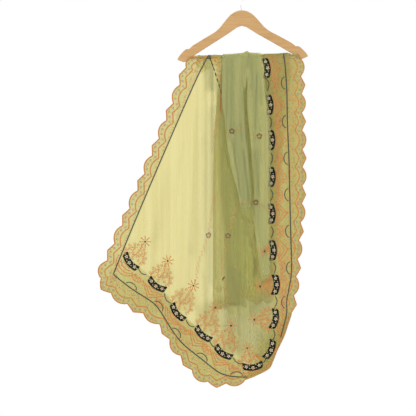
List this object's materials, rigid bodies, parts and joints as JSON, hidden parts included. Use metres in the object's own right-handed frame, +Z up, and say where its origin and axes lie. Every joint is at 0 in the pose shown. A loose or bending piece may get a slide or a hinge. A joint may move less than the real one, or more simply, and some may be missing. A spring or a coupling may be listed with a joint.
{
  "type": "dupatta stole on a wooden hanger",
  "caption": "Sheer embroidered dupatta with scalloped borders and velvet patches, hung in pleats over the bar of a wooden hanger with a wire hook.",
  "frame": {"origin": "inside top of the hook's bend, where it hangs on a rail", "axes": "+Z up, +X to the right seen from the front, -Y towards the viewer; the hanger and cloth lie along XZ"},
  "size_m": [0.7115, 0.1032, 1.3638],
  "materials": {
    "organza": "sheer yellow-green woven organza, embroidered in copper thread at the borders",
    "velvet": "near-black cut velvet with small cream flowers",
    "wood": "clear-lacquered pale wood",
    "steel": "bright plated wire"
  },
  "bodies": {
    "root": {"hanger_arms": "wood", "trouser_bar": "wood", "hook": "steel", "front_fall": "organza", "under_fold": "organza", "pleat_left": "organza", "pleat_right": "organza", "turned_border": "organza", "back_fall": "organza", "velvet_patch_01": "velvet", "velvet_patch_02": "velvet", "velvet_patch_03": "velvet", "velvet_patch_04": "velvet", "velvet_patch_05": "velvet", "velvet_patch_06": "velvet", "velvet_patch_07": "velvet", "velvet_patch_08": "velvet", "velvet_patch_09": "velvet", "velvet_patch_10": "velvet", "velvet_patch_11": "velvet", "velvet_patch_12": "velvet", "velvet_patch_13": "velvet", "velvet_patch_14": "velvet", "velvet_patch_15": "velvet", "back_patch_1": "velvet", "back_patch_2": "velvet", "back_patch_3": "velvet", "back_patch_4": "velvet", "back_patch_5": "velvet", "back_patch_6": "velvet"}
  },
  "joints": []
}
